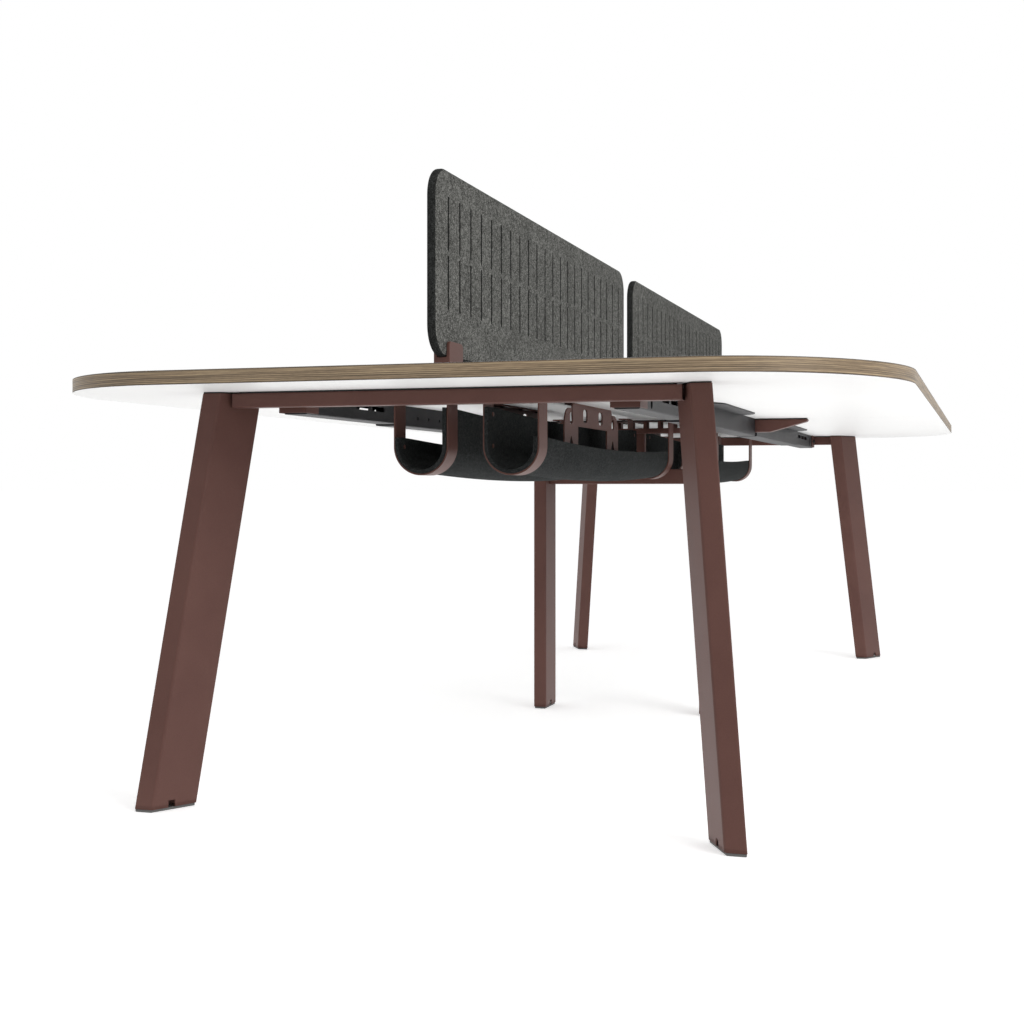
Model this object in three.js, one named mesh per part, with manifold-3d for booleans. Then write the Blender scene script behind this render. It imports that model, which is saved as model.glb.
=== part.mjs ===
// Bench desk for four people, millimetres, Z up, origin on the floor below the middle of the top.
// The desk is the same at both ends and on both sides, so the pieces are drawn for the +X, +Y
// quarter and mirrored. X runs along the desk, Y across it.
import * as THREE from "three";
import { mergeVertices } from "three/addons/utils/BufferGeometryUtils.js";
import Module from "manifold-3d";

// Desktop: two boards that meet over the middle frame
const deskHeight = 750;
const topLength = 3000;
const topWidth = 1516;
const coreThickness = 22;
const laminateThickness = 1;
const cornerLength = 370;
const cornerWidth = 320;
const seamGap = 0.5;

// Fits shared by all pieces
const clearance = 0.3;
const overrun = 5;

// Steel tube and sheet
const columnWall = 2.5;
const columnRadius = 4;
const beamWall = 2;
const beamRadius = 3;
const beamWidth = 30;
const sheetThickness = 3;

// Splayed end legs: a slanted flat section that leans in towards the top
const legEndInset = 81;
const legFootY = 528;
const legEndWidth = 36;
const legSectionLength = 83;
const legSectionSlant = 40;
const legLeanX = 107;
const legLeanY = 73;
const legNotchShare = 0.44;

// Upright middle posts
const postY = 210.5;
const postThickness = 32;
const postLength = 92;
const postNotchShare = 0.5;

// Foot of every leg and post, and the levelling foot in it
const columnFootHeight = 5;
const notchWidth = 13;
const notchHeight = 12;
const webHeight = 15.3;
const webThickness = 6;
const capThickness = 3;
const padHeight = 4.5;
const padInset = 2;
const stemRadius = 4;
const stemTopHeight = 50;
const wheelRadius = 9;
const wheelBottomHeight = 6;
const wheelThickness = 4;
const collarRadius = 7;
const collarThickness = 3.7;

// End crossbeams, across the leg heads
const endBeamInset = 28;
const endBeamDepth = 28;
const endBeamShortfall = 14;

// Middle frame
const upperBeamDepth = 33;
const upperBeamFullY = 362;
const upperBeamTipY = 453;
const upperBeamTipDepth = 8;
const windowCount = 11;
const windowPitch = 36;
const windowWidth = 28;
const windowHeight = 18;
const windowDrop = 2.5;
const riserY = 40;
const riserWidth = 23;
const riserLength = 20;
const riserHeight = 89;
const lowerBeamDepth = 37;

// Rails that run in from the end crossbeams
const railOuterY = 324;
const railWidth = 45;
const railDepth = 39;
const railLap = 229;
const railEndGap = 13;
const railSlotCount = 6;
const railSlotLength = 62;
const railSlotWidth = 9;
const railSlotPitch = 77;
const railSlotDrop = 14;
const railFirstSlotInset = 204;
const railInnerSlotCount = 2;
const railInnerSlotInset = 248;
const railEndSlotWidth = 14;
const railEndSlotHeight = 26;
const railEndSlotDrop = 22;
const railEndSlotInset = 87;

// Sleeves that carry the rails out from the middle frame
const sleeveEndX = 829;
const sleeveHoleCount = 3;
const sleeveHolePitch = 64;
const sleeveHoleInset = 106;
const sleeveHoleRadius = 4;
const sleeveHoleDrop = 23;
const wingStartX = 255;
const wingLength = 490;
const wingReach = 46;
const wingRadius = 12;
const wingBevelLength = 40;
const wingBevelWidth = 20;

// Brackets that hold the rails on the end crossbeams
const bracketLength = 57;
const bracketDepth = 37;

// Felt cable trays
const feltThickness = 7;
const trayY = 83.5;
const trayRadius = 48;
const trayCentreDrop = 96;
const trayOuterRise = 16;
const trayInnerRise = 68;
const trayStartX = 58;
const trayEndGap = 64;
const traySag = 11;

// Steel straps below the trays, with the rivets that hold the felt
const strapWidth = 50;
const strapInset = 3;
const strapTabLength = 23;
const rivetRadius = 2;
const rivetHeadRadius = 4;
const rivetHeadThickness = 1.5;
const rivetHeadGap = 0.5;
const rivetLowRise = 0;
const rivetHighRise = 56;

// Felt screens
const screenLift = 26;
const screenHeight = 313;
const screenThickness = 16;
const screenStartX = 46;
const screenEndInset = 128;
const screenRadius = 50;
const grooveCount = 22;
const groovePitch = 57.2;
const grooveWidth = 6;
const grooveDepth = 3;
const grooveHeight = 91;
const grooveTopDrop = 44;
const grooveRowGap = 8;

// Screen clips
const clipLength = 68;
const clipInset = 85;
const clipThickness = 6;
const clipHeight = 52;
const clipRadius = 9;

// Slotted cable plates
const plateX = 645;
const plateHalfLength = 161;
const plateDepth = 46;
const plateLegStart = 118;
const plateLegEnd = 219;
const plateLegDepth = 121;
const plateEarDrop = 11;
const plateEarRadius = 36;
const plateTopRadius = 10;
const plateSlitWidth = 6;
const plateSlitDepth = 43;
const plateKeyWidth = 20;
const plateKeyHeight = 24;
const plateKeyRadius = 9;
const plateForkOffset = 170;
const plateForkWidth = 24;
const plateForkShoulder = 40;
const plateForkHeight = 54;
const plateSlotOffset = 63;
const plateSlotWidth = 34;
const plateSlotHeight = 27;
const plateSlotDrop = 23;
const plateSlotRadius = 9;
const plateFlangeReach = 20;
const plateFlangeHalfLength = 150;

// Fineness of the round faces
const ellipseSteps = 10;
const trayArcSteps = 12;
const traySagSteps = 6;
const screenCornerSteps = 6;
const bendSteps = 2;
const holeSteps = 2;
const pinSides = 8;
const stemSides = 12;
const mergeDistance = 0.0001;

// Heights and places that follow from the sizes above
const topThickness = coreThickness + 2 * laminateThickness;
const undersideZ = deskHeight - topThickness;
const boardEndX = topLength / 2;
const boardEdgeY = topWidth / 2;
const legFootX = boardEndX - legEndInset;
const notchTopZ = columnFootHeight + notchHeight;
const webTopZ = webHeight + webThickness;
const postTopZ = undersideZ - upperBeamDepth;
const lowerBeamTopZ = postTopZ - riserHeight;
const endBeamX = legFootX - legLeanX - endBeamInset;
const endBeamInnerX = endBeamX - beamWidth / 2;
const bracketInnerX = endBeamInnerX - sheetThickness;
const railEndX = bracketInnerX - railEndGap;
const railInnerEndX = sleeveEndX - railLap;
const railInnerY = railOuterY - railWidth;
const sleeveInnerY = railInnerY - clearance - sheetThickness;
const sleeveOuterY = railOuterY + clearance;
const sleeveZ = undersideZ - railDepth - clearance - sheetThickness;
const trayZ = undersideZ - trayCentreDrop;
const trayEndX = endBeamInnerX - trayEndGap;
const strapRadius = trayRadius + clearance + sheetThickness;
const boreRadius = stemRadius + clearance;
const rivetHoleRadius = rivetRadius + clearance;
const screenBottomZ = deskHeight + screenLift;
const screenTopZ = screenBottomZ + screenHeight;
const screenEndX = boardEndX - screenEndInset;
const screenHalfThickness = screenThickness / 2;

const wasm = await Module();
wasm.setup();

const desk = new THREE.Group();
desk.name = "bench_desk";

const ends = [{ name: "a", sign: -1 }, { name: "b", sign: 1 }];
const sides = [{ name: "left", sign: 1 }, { name: "right", sign: -1 }];

// A closed solid from a closed geometry
function solid(geometry) {
  const plain = geometry.index ? geometry.toNonIndexed() : geometry.clone();
  plain.deleteAttribute("normal");
  plain.deleteAttribute("uv");
  const merged = mergeVertices(plain, mergeDistance);
  const faces = new wasm.Mesh({
    numProp: 3,
    vertProperties: merged.attributes.position.array,
    triVerts: new Uint32Array(merged.index.array),
  });
  return new wasm.Manifold(faces);
}

// The finished solid as a geometry for its mesh
function surface(body) {
  const faces = body.getMesh();
  const geometry = new THREE.BufferGeometry();
  geometry.setAttribute("position", new THREE.BufferAttribute(faces.vertProperties, 3));
  geometry.setIndex(new THREE.BufferAttribute(faces.triVerts, 1));
  return geometry;
}

function corner(x, y, radius = 0) {
  return { at: new THREE.Vector2(x, y), radius };
}

// Points round one corner, from the edge that arrives to the edge that leaves
function cornerPoints(before, here, after, steps) {
  if (here.radius === 0) return [here.at];
  const back = before.at.clone().sub(here.at).normalize();
  const on = after.at.clone().sub(here.at).normalize();
  const halfAngle = Math.acos(back.dot(on)) / 2;
  const tangent = here.radius / Math.tan(halfAngle);
  const toCentre = here.radius / Math.sin(halfAngle);
  const centre = back.clone().add(on).normalize().multiplyScalar(toCentre).add(here.at);
  const first = back.clone().multiplyScalar(tangent).add(here.at).sub(centre).angle();
  const last = on.clone().multiplyScalar(tangent).add(here.at).sub(centre).angle();
  const turn = Math.atan2(Math.sin(last - first), Math.cos(last - first));
  return Array.from({ length: steps + 1 }, (_, step) => {
    const angle = first + (turn * step) / steps;
    const spoke = new THREE.Vector2(Math.cos(angle), Math.sin(angle));
    return spoke.multiplyScalar(here.radius).add(centre);
  });
}

function outline(corners, steps = bendSteps) {
  const count = corners.length;
  const points = corners.flatMap((here, index) => {
    const before = corners[(index + count - 1) % count];
    const after = corners[(index + 1) % count];
    return cornerPoints(before, here, after, steps);
  });
  return new THREE.Shape(points);
}

function rectangle(x0, x1, y0, y1, radius = 0) {
  return [corner(x0, y0, radius), corner(x1, y0, radius), corner(x1, y1, radius), corner(x0, y1, radius)];
}

// A section moved in by a distance on every side, corners counter-clockwise
function inset(corners, distance) {
  const count = corners.length;
  return corners.map((here, index) => {
    const arriving = here.at.clone().sub(corners[(index + count - 1) % count].at).normalize();
    const leaving = corners[(index + 1) % count].at.clone().sub(here.at).normalize();
    const shift = leaving.clone().sub(arriving).multiplyScalar(distance / arriving.cross(leaving));
    const moved = here.at.clone().add(shift);
    return corner(moved.x, moved.y, Math.max(here.radius - distance, 0));
  });
}

function prism(shape, length) {
  const settings = { depth: length, bevelEnabled: false, curveSegments: ellipseSteps };
  return new THREE.ExtrudeGeometry(shape, settings);
}

// A shape drawn in Y and Z, from one X to another
function alongX(shape, from, to) {
  const turned = new THREE.Matrix4().makeBasis(
    new THREE.Vector3(0, 1, 0),
    new THREE.Vector3(0, 0, 1),
    new THREE.Vector3(1, 0, 0),
  );
  return solid(prism(shape, to - from).applyMatrix4(turned).translate(from, 0, 0));
}

// A shape drawn in X and Z, from one Y to another
function alongY(shape, from, to) {
  const turned = new THREE.Matrix4().makeBasis(
    new THREE.Vector3(1, 0, 0),
    new THREE.Vector3(0, 0, 1),
    new THREE.Vector3(0, -1, 0),
  );
  return solid(prism(shape, to - from).applyMatrix4(turned).translate(0, to, 0));
}

// A shape drawn in X and Y, from one height to another, leaned over when a lean is given
function alongZ(shape, from, to, lean = new THREE.Matrix4()) {
  return solid(prism(shape, to - from).translate(0, 0, from).applyMatrix4(lean));
}

function block(x0, x1, y0, y1, z0, z1) {
  return alongZ(outline(rectangle(x0, x1, y0, y1)), z0, z1);
}

function pinAlongY(radius, x, z, from, to) {
  const pin = new THREE.CylinderGeometry(radius, radius, to - from, pinSides);
  return solid(pin.translate(x, (from + to) / 2, z));
}

function pinAlongZ(radius, x, y, from, to) {
  const pin = new THREE.CylinderGeometry(radius, radius, to - from, stemSides);
  return solid(pin.rotateX(Math.PI / 2).translate(x, y, (from + to) / 2));
}

function brownSteel() {
  return new THREE.MeshStandardMaterial({ color: "#5e443e", roughness: 0.45, metalness: 0.3 });
}

function blackSteel() {
  return new THREE.MeshStandardMaterial({ color: "#26262a", roughness: 0.5, metalness: 0.3 });
}

function plywood() {
  return new THREE.MeshStandardMaterial({ color: "#96805f", roughness: 0.6, metalness: 0 });
}

function whiteLaminate() {
  return new THREE.MeshStandardMaterial({ color: "#eeeeea", roughness: 0.5, metalness: 0 });
}

function screenFelt() {
  return new THREE.MeshStandardMaterial({ color: "#585856", roughness: 0.95, metalness: 0 });
}

function trayFelt() {
  return new THREE.MeshStandardMaterial({ color: "#3a3e3e", roughness: 0.95, metalness: 0 });
}

function greyPlastic() {
  return new THREE.MeshStandardMaterial({ color: "#6e6e6e", roughness: 0.6, metalness: 0 });
}

function place(name, body, material, signX = 1, signY = 1) {
  const mesh = new THREE.Mesh(surface(body), material);
  mesh.name = name;
  mesh.scale.set(signX, signY, 1);
  desk.add(mesh);
}

// One board of the top, with the wide soft corners at its outer end
function boardShape() {
  const startX = seamGap / 2;
  const centreX = boardEndX - cornerLength;
  const centreY = boardEdgeY - cornerWidth;
  const shape = new THREE.Shape();
  shape.moveTo(startX, -boardEdgeY);
  shape.lineTo(centreX, -boardEdgeY);
  shape.absellipse(centreX, -centreY, cornerLength, cornerWidth, -Math.PI / 2, 0, false);
  shape.lineTo(boardEndX, centreY);
  shape.absellipse(centreX, centreY, cornerLength, cornerWidth, 0, Math.PI / 2, false);
  shape.lineTo(startX, boardEdgeY);
  shape.closePath();
  return shape;
}

function boardLayer(from, to) {
  return alongZ(boardShape(), from, to);
}

// Flat slanted section of an end leg, where its faces meet the floor
function legSection(side) {
  const innerX = legFootX - legSectionLength;
  const corners = [
    corner(legFootX, side * legFootY, columnRadius),
    corner(innerX, side * (legFootY - legSectionSlant), columnRadius),
    corner(innerX, side * (legFootY - legSectionSlant - legEndWidth), columnRadius),
    corner(legFootX, side * (legFootY - legEndWidth), columnRadius),
  ];
  return side > 0 ? corners : corners.reverse();
}

function legLean(side) {
  return new THREE.Matrix4().makeShear(0, 0, 0, 0, -legLeanX / undersideZ, (-side * legLeanY) / undersideZ);
}

function postSection() {
  const halfLength = postLength / 2;
  const halfThickness = postThickness / 2;
  return rectangle(-halfLength, halfLength, postY - halfThickness, postY + halfThickness, columnRadius);
}

function middleOf(section) {
  const sum = new THREE.Vector2();
  section.forEach((item) => sum.add(item.at));
  return sum.divideScalar(section.length);
}

// Flat tube with a closed head, a web near its foot and a notch through both wide faces
function column(section, topZ, lean, notchShare) {
  const inner = outline(inset(section, columnWall));
  const middle = middleOf(section);
  const xs = section.map((item) => item.at.x);
  const notchX = Math.max(...xs) - notchShare * (Math.max(...xs) - Math.min(...xs));
  const notchReach = legFootY + overrun;
  const tube = alongZ(outline(section), columnFootHeight, topZ, lean);
  const lower = alongZ(inner, columnFootHeight - overrun, webHeight, lean);
  const upper = alongZ(inner, webTopZ, topZ - capThickness, lean);
  const bore = pinAlongZ(boreRadius, middle.x, middle.y, webHeight - overrun, webTopZ + overrun);
  const notch = block(
    notchX - notchWidth / 2, notchX + notchWidth / 2, 0, notchReach, columnFootHeight - overrun, notchTopZ,
  );
  return tube.subtract(lower).subtract(upper).subtract(bore).subtract(notch);
}

// Grey pad, threaded stem, adjusting wheel and the collar that carries the web
function levellingFoot(section) {
  const middle = middleOf(section);
  const collarTopZ = webHeight - clearance;
  const profile = [
    [0, padHeight / 2],
    [stemRadius, padHeight / 2],
    [stemRadius, wheelBottomHeight],
    [wheelRadius, wheelBottomHeight],
    [wheelRadius, wheelBottomHeight + wheelThickness],
    [stemRadius, wheelBottomHeight + wheelThickness],
    [stemRadius, collarTopZ - collarThickness],
    [collarRadius, collarTopZ - collarThickness],
    [collarRadius, collarTopZ],
    [stemRadius, collarTopZ],
    [stemRadius, stemTopHeight],
    [0, stemTopHeight],
  ].map(([radius, height]) => new THREE.Vector2(radius, height));
  const stem = new THREE.LatheGeometry(profile, stemSides).rotateX(Math.PI / 2);
  const pad = alongZ(outline(inset(section, padInset)), 0, padHeight);
  return pad.add(solid(stem.translate(middle.x, middle.y, 0)));
}

// Rectangular tube across the desk, open at both ends
function beamAcross(width, fromY, toY, fromZ, toZ) {
  const section = rectangle(-width / 2, width / 2, fromZ, toZ, beamRadius);
  const outer = alongY(outline(section), fromY, toY);
  return outer.subtract(alongY(outline(inset(section, beamWall)), fromY - overrun, toY + overrun));
}

// Cut straight at its ends, with the inner corners trimmed to the slant of the legs
function endCrossbeam() {
  const reach = middleOf(legSection(1)).y - legLeanY - endBeamShortfall;
  const straight = beamAcross(beamWidth, -reach, reach, undersideZ - endBeamDepth, undersideZ);
  return [1, -1].reduce((body, side) => {
    const grown = outline(inset(legSection(side), -clearance));
    return body.subtract(alongZ(grown, columnFootHeight, undersideZ + overrun, legLean(side)));
  }, straight.translate(endBeamX, 0, 0));
}

function lowerCrossbeam() {
  const reach = postY - postThickness / 2;
  return beamAcross(beamWidth, -reach, reach, lowerBeamTopZ - lowerBeamDepth, lowerBeamTopZ);
}

// Full depth over the posts, tapered beyond them, with a row of windows
function upperCrossbeam() {
  const half = beamWidth / 2;
  const tipZ = undersideZ - upperBeamTipDepth;
  const side = outline([
    corner(-upperBeamTipY, undersideZ),
    corner(-upperBeamTipY, tipZ),
    corner(-upperBeamFullY, postTopZ),
    corner(upperBeamFullY, postTopZ),
    corner(upperBeamTipY, tipZ),
    corner(upperBeamTipY, undersideZ),
  ]);
  const hollowHalf = half - beamWall;
  const hollow = block(
    -hollowHalf, hollowHalf, -upperBeamFullY, upperBeamFullY, postTopZ + beamWall, undersideZ - beamWall,
  );
  let beam = alongX(side, -half, half).subtract(hollow);
  for (let index = 0; index < windowCount; index += 1) {
    const y = (index - (windowCount - 1) / 2) * windowPitch - windowWidth / 2;
    const top = undersideZ - windowDrop;
    const window = block(-half - overrun, half + overrun, y, y + windowWidth, top - windowHeight, top);
    beam = beam.subtract(window);
  }
  return beam;
}

function riser() {
  const halfLength = riserLength / 2;
  const halfWidth = riserWidth / 2;
  const section = rectangle(-halfLength, halfLength, riserY - halfWidth, riserY + halfWidth, beamRadius);
  const outer = alongZ(outline(section), lowerBeamTopZ, postTopZ);
  const bore = outline(inset(section, beamWall));
  return outer.subtract(alongZ(bore, lowerBeamTopZ - overrun, postTopZ + overrun));
}

// A slot with round ends, drawn in X and Z
function slotShape(x, z, length, height) {
  const round = Math.min(length, height) / 2;
  return outline(rectangle(x - length / 2, x + length / 2, z - height / 2, z + height / 2, round), holeSteps);
}

// Rectangular tube, slotted through its outer and its inner wall
function rail() {
  const section = rectangle(railInnerY, railOuterY, undersideZ - railDepth, undersideZ, sheetThickness);
  const hollow = outline(inset(section, sheetThickness));
  const outerCut = [railOuterY - sheetThickness - overrun, railOuterY + overrun];
  const innerCut = [railInnerY - overrun, railInnerY + sheetThickness + overrun];
  const endSlot = slotShape(
    railEndX - railEndSlotInset, undersideZ - railEndSlotDrop, railEndSlotWidth, railEndSlotHeight,
  );
  const slotAt = (x) => slotShape(x, undersideZ - railSlotDrop, railSlotLength, railSlotWidth);
  let body = alongX(outline(section), railInnerEndX, railEndX)
    .subtract(alongX(hollow, railInnerEndX - overrun, railEndX + overrun))
    .subtract(alongY(endSlot, ...outerCut));
  for (let index = 0; index < railSlotCount; index += 1) {
    const x = railEndX - railFirstSlotInset - index * railSlotPitch;
    body = body.subtract(alongY(slotAt(x), ...outerCut));
  }
  for (let index = 0; index < railInnerSlotCount; index += 1) {
    const x = railEndX - railInnerSlotInset - index * railSlotPitch;
    body = body.subtract(alongY(slotAt(x), ...innerCut));
  }
  return body;
}

// Folded trough below and beside the rail, with a wing against the top
function railSleeve() {
  const outerFace = sleeveOuterY + sheetThickness;
  const innerFace = sleeveInnerY + sheetThickness;
  const ledgeZ = sleeveZ + sheetThickness;
  const section = outline([
    corner(sleeveInnerY, undersideZ),
    corner(sleeveInnerY, sleeveZ, sheetThickness),
    corner(outerFace, sleeveZ, sheetThickness),
    corner(outerFace, undersideZ),
    corner(sleeveOuterY, undersideZ),
    corner(sleeveOuterY, ledgeZ),
    corner(innerFace, ledgeZ),
    corner(innerFace, undersideZ),
  ]);
  const wingEndX = wingStartX + wingLength;
  const wingEdgeY = sleeveOuterY + wingReach;
  const wing = outline([
    corner(wingStartX, sleeveOuterY),
    corner(wingEndX, sleeveOuterY),
    corner(wingEndX, wingEdgeY - wingBevelWidth, wingRadius),
    corner(wingEndX - wingBevelLength, wingEdgeY, wingRadius),
    corner(wingStartX + wingBevelLength, wingEdgeY, wingRadius),
    corner(wingStartX, wingEdgeY - wingBevelWidth, wingRadius),
  ]);
  const folded = alongX(section, beamWidth / 2, sleeveEndX);
  let body = folded.add(alongZ(wing, undersideZ - sheetThickness, undersideZ));
  for (let index = 0; index < sleeveHoleCount; index += 1) {
    const x = sleeveEndX - sleeveHoleInset - index * sleeveHolePitch;
    const z = undersideZ - sleeveHoleDrop;
    body = body.subtract(pinAlongY(sleeveHoleRadius, x, z, sleeveInnerY - overrun, innerFace + overrun));
  }
  return body;
}

// Plate against the crossbeam and a cheek on either side of the rail
function railBracket() {
  const cheekX = endBeamInnerX - bracketLength;
  const bottom = undersideZ - bracketDepth;
  const innerY = railInnerY - clearance;
  const outerY = railOuterY + clearance;
  const plate = block(
    bracketInnerX, endBeamInnerX, innerY - sheetThickness, outerY + sheetThickness, bottom, undersideZ,
  );
  const innerCheek = block(cheekX, endBeamInnerX, innerY - sheetThickness, innerY, bottom, undersideZ);
  const outerCheek = block(cheekX, endBeamInnerX, outerY, outerY + sheetThickness, bottom, undersideZ);
  return plate.add(innerCheek).add(outerCheek);
}

// Round-bottomed channel, drawn in Y and Z
function channelShape(radius, thickness, outerTopZ, innerTopZ) {
  const arc = (r) => Array.from({ length: trayArcSteps + 1 }, (_, step) => {
    const angle = (-Math.PI * step) / trayArcSteps;
    return new THREE.Vector2(trayY + r * Math.cos(angle), trayZ + r * Math.sin(angle));
  });
  return new THREE.Shape([
    new THREE.Vector2(trayY + radius, outerTopZ),
    ...arc(radius),
    new THREE.Vector2(trayY - radius, innerTopZ),
    new THREE.Vector2(trayY - radius + thickness, innerTopZ),
    ...arc(radius - thickness).reverse(),
    new THREE.Vector2(trayY + radius - thickness, outerTopZ),
  ]);
}

function strapCentres() {
  const inwards = strapInset + strapWidth / 2;
  return { inner: trayStartX + inwards, outer: trayEndX - inwards };
}

// The felt is straight where the straps hold it and sinks between them
function saggingChannel(shape) {
  const centres = strapCentres();
  const free = { from: centres.inner + strapWidth / 2, to: centres.outer - strapWidth / 2 };
  const stations = Array.from({ length: traySagSteps + 1 }, (_, step) => {
    const share = step / traySagSteps;
    return { x: THREE.MathUtils.lerp(free.from, free.to, share), drop: traySag * Math.sin(Math.PI * share) };
  });
  const all = [{ x: trayStartX, drop: 0 }, ...stations, { x: trayEndX, drop: 0 }];
  const spans = all.length - 1;
  const geometry = new THREE.ExtrudeGeometry(shape, { depth: spans, steps: spans, bevelEnabled: false });
  const points = geometry.attributes.position;
  for (let index = 0; index < points.count; index += 1) {
    const station = all[Math.round(points.getZ(index))];
    points.setXYZ(index, station.x, points.getX(index), points.getY(index) - station.drop);
  }
  return solid(geometry);
}

function cableTray() {
  const shape = channelShape(trayRadius, feltThickness, trayZ + trayOuterRise, trayZ + trayInnerRise);
  const outerWallY = trayY + trayRadius;
  const innerWallY = trayY - trayRadius;
  let body = saggingChannel(shape);
  for (const x of Object.values(strapCentres())) {
    const lowZ = trayZ + rivetLowRise;
    const highZ = trayZ + rivetHighRise;
    body = body.subtract(pinAlongY(rivetHoleRadius, x, lowZ, trayY, outerWallY + overrun));
    body = body.subtract(pinAlongY(rivetHoleRadius, x, lowZ, innerWallY - overrun, trayY));
    body = body.subtract(pinAlongY(rivetHoleRadius, x, highZ, innerWallY - overrun, trayY));
  }
  return body;
}

// A rivet from the steel through the felt, with its head inside the tray
function rivet(x, z, side) {
  const steelY = strapRadius - sheetThickness / 2;
  const headY = trayRadius - feltThickness - rivetHeadGap;
  const ys = [steelY, headY, headY - rivetHeadThickness].map((reach) => trayY + side * reach);
  const shank = pinAlongY(rivetRadius, x, z, Math.min(ys[0], ys[2]), Math.max(ys[0], ys[2]));
  return shank.add(pinAlongY(rivetHeadRadius, x, z, Math.min(ys[1], ys[2]), Math.max(ys[1], ys[2])));
}

function trayStrap(centreX) {
  const from = centreX - strapWidth / 2;
  const to = centreX + strapWidth / 2;
  const tabZ = undersideZ - sheetThickness;
  const tabStart = strapRadius - sheetThickness;
  const tabEnd = strapRadius + strapTabLength;
  const loop = alongX(channelShape(strapRadius, sheetThickness, undersideZ, undersideZ), from, to);
  const outerTab = block(from, to, trayY + tabStart, trayY + tabEnd, tabZ, undersideZ);
  const innerTab = block(from, to, trayY - tabEnd, trayY - tabStart, tabZ, undersideZ);
  const rivets = rivet(centreX, trayZ + rivetLowRise, 1)
    .add(rivet(centreX, trayZ + rivetLowRise, -1))
    .add(rivet(centreX, trayZ + rivetHighRise, -1));
  return loop.add(outerTab).add(innerTab).add(rivets);
}

// Pressed felt sheet with two rows of upright grooves on both faces
function screen() {
  const sheet = outline([
    corner(screenStartX, screenBottomZ, screenRadius),
    corner(screenEndX, screenBottomZ, screenRadius),
    corner(screenEndX, screenTopZ, screenRadius),
    corner(screenStartX, screenTopZ, screenRadius),
  ], screenCornerSteps);
  let body = alongY(sheet, -screenHalfThickness, screenHalfThickness);
  const firstX = (screenStartX + screenEndX - (grooveCount - 1) * groovePitch) / 2;
  const floorY = screenHalfThickness - grooveDepth;
  const faceY = screenHalfThickness + overrun;
  for (const topZ of [screenTopZ - grooveTopDrop, screenTopZ - grooveTopDrop - grooveHeight - grooveRowGap]) {
    for (let index = 0; index < grooveCount; index += 1) {
      const x0 = firstX + index * groovePitch - grooveWidth / 2;
      const x1 = x0 + grooveWidth;
      body = body.subtract(block(x0, x1, floorY, faceY, topZ - grooveHeight, topZ));
      body = body.subtract(block(x0, x1, -faceY, -floorY, topZ - grooveHeight, topZ));
    }
  }
  return body;
}

// Solid base that carries the felt, with an upright on either side of it
function screenClip(centreX) {
  const from = centreX - clipLength / 2;
  const to = centreX + clipLength / 2;
  const innerY = screenHalfThickness + clearance;
  const outerY = innerY + clipThickness;
  const seatZ = screenBottomZ - clearance;
  const topZ = deskHeight + clipHeight;
  const side = outline([
    corner(from, deskHeight),
    corner(to, deskHeight),
    corner(to, topZ, clipRadius),
    corner(from, topZ, clipRadius),
  ], screenCornerSteps);
  const mouth = block(from - overrun, to + overrun, -innerY, innerY, seatZ, topZ + overrun);
  return alongY(side, -outerY, outerY).subtract(mouth);
}

// Half of the sheet: a slotted upper part, and a leg with a rounded ear, a slit and a forked foot
function plateHalf(side) {
  const fromY = trayY - sheetThickness / 2;
  const toY = trayY + sheetThickness / 2;
  const at = (offset, drop, radius = 0) => corner(plateX + side * offset, undersideZ - drop, radius);
  const sheet = (...corners) => alongY(outline(corners), fromY, toY);
  const through = (...corners) => alongY(outline(corners), fromY - overrun, toY + overrun);
  const slitEnd = plateHalfLength + plateSlitWidth;
  const keyEnd = plateHalfLength + plateKeyWidth;
  const keyTop = plateSlitDepth - plateKeyHeight;
  const fork = [plateForkOffset - plateForkWidth / 2, plateForkOffset + plateForkWidth / 2];
  const shoulder = plateLegDepth - plateForkShoulder;
  const slot = [plateSlotOffset - plateSlotWidth / 2, plateSlotOffset + plateSlotWidth / 2];
  const slotDrops = [plateSlotDrop + plateSlotHeight / 2, plateSlotDrop - plateSlotHeight / 2];
  const main = sheet(
    at(0, plateDepth), at(plateHalfLength, plateDepth), at(plateHalfLength, 0, plateTopRadius), at(0, 0),
  );
  const leg = sheet(
    at(plateLegStart, plateLegDepth),
    at(plateLegEnd, plateLegDepth),
    at(plateLegEnd, plateEarDrop, plateEarRadius),
    at(plateLegStart, plateEarDrop),
  );
  const slit = through(
    at(plateHalfLength, plateSlitDepth), at(slitEnd, plateSlitDepth),
    at(slitEnd, -overrun), at(plateHalfLength, -overrun),
  );
  const key = through(
    at(plateHalfLength, plateSlitDepth, plateKeyRadius),
    at(keyEnd, plateSlitDepth, plateKeyRadius),
    at(keyEnd, keyTop, plateKeyRadius),
    at(plateHalfLength, keyTop),
  );
  const forkCut = through(
    at(fork[0], plateLegDepth + overrun),
    at(fork[1], plateLegDepth + overrun),
    at(fork[1], shoulder),
    at(plateForkOffset, plateLegDepth - plateForkHeight),
    at(fork[0], shoulder),
  );
  const slotCut = through(
    at(slot[0], slotDrops[0], plateSlotRadius),
    at(slot[1], slotDrops[0], plateSlotRadius),
    at(slot[1], slotDrops[1], plateSlotRadius),
    at(slot[0], slotDrops[1], plateSlotRadius),
  );
  return main.add(leg).subtract(slit).subtract(key).subtract(forkCut).subtract(slotCut);
}

// Slotted sheet that reaches into a tray, folded over at its top
function cablePlate() {
  const faceY = trayY + sheetThickness / 2;
  const flange = block(
    plateX - plateFlangeHalfLength, plateX + plateFlangeHalfLength,
    faceY - plateFlangeReach, faceY, undersideZ - sheetThickness, undersideZ,
  );
  return plateHalf(1).add(plateHalf(-1)).add(flange);
}

const lowerLaminateTopZ = undersideZ + laminateThickness;
const coreTopZ = lowerLaminateTopZ + coreThickness;
const upright = new THREE.Matrix4();
const straps = strapCentres();

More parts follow.
